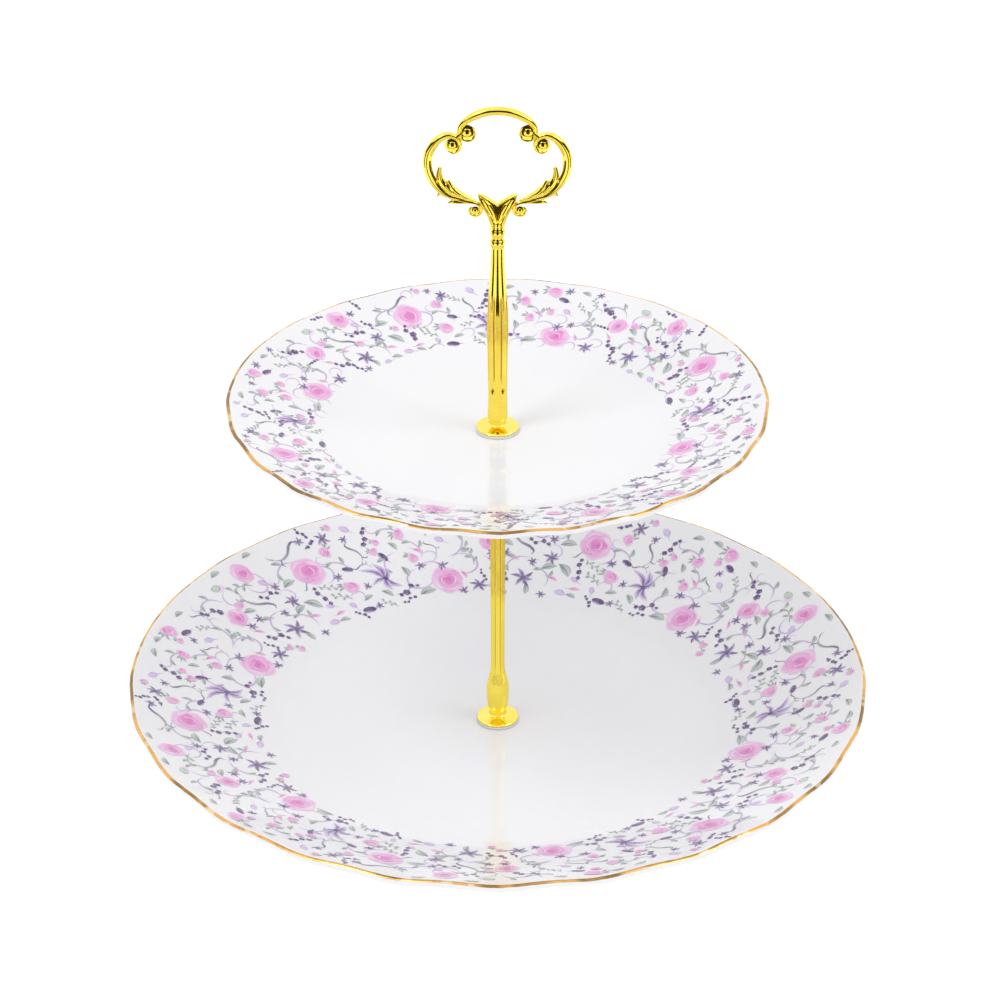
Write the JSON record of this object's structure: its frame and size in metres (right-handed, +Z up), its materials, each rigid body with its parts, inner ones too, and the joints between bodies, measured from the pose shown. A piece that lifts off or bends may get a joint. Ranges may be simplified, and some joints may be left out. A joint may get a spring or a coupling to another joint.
{
  "type": "tiered cake stand",
  "caption": "Tiered cake stand: round porcelain plates with a waved rim on a slim metal column, topped by a pierced scroll handle; screws apart.",
  "frame": {"origin": "middle of the lower plate's foot ring, on the surface that the stand rests on", "axes": "+Z up the column, the flat face of the handle's ring towards -Y"},
  "size_m": [0.267, 0.267, 0.249],
  "materials": {
    "porcelain": "gloss",
    "gold": "polished",
    "zinc": "satin",
    "clear_rubber": "satin"
  },
  "bodies": {
    "lower_tier": {"lower_plate": "porcelain", "under_gasket": "clear_rubber", "base_washer": "zinc", "base_screw": "zinc", "base_gasket": "clear_rubber"},
    "base_flange": {"base_flange": "gold"},
    "column": {"centre_rod": "gold", "joining_stud": "zinc", "support_flange": "gold", "support_gasket": "clear_rubber"},
    "upper_tier": {"upper_plate": "porcelain", "top_gasket": "clear_rubber"},
    "top_flange": {"top_flange": "gold"},
    "handle": {"handle": "gold"}
  },
  "joints": [
    {"name": "column_turn", "type": "hinge", "parent": "lower_tier", "child": "base_flange", "pos_m": [0, 0, 0.0084], "axis": [0, 0, 1], "range_deg": [0, 3601]},
    {"name": "column_lift", "type": "slide", "parent": "base_flange", "child": "column", "axis": [0, 0, 1], "range_m": [0, 0.007]},
    {"name": "upper_plate_turn", "type": "hinge", "parent": "column", "child": "upper_tier", "pos_m": [0, 0, 0.1237], "axis": [0, 0, 1], "continuous": true},
    {"name": "handle_turn", "type": "hinge", "parent": "column", "child": "top_flange", "pos_m": [0, 0, 0.1281], "axis": [0, 0, 1], "range_deg": [0, 3601]},
    {"name": "handle_lift", "type": "slide", "parent": "top_flange", "child": "handle", "axis": [0, 0, 1], "range_m": [0, 0.007]}
  ],
  "couplings": [
    {"joint": "column_turn", "follows": "column_lift", "rad_per_m": 8976},
    {"joint": "handle_turn", "follows": "handle_lift", "rad_per_m": 8976}
  ]
}
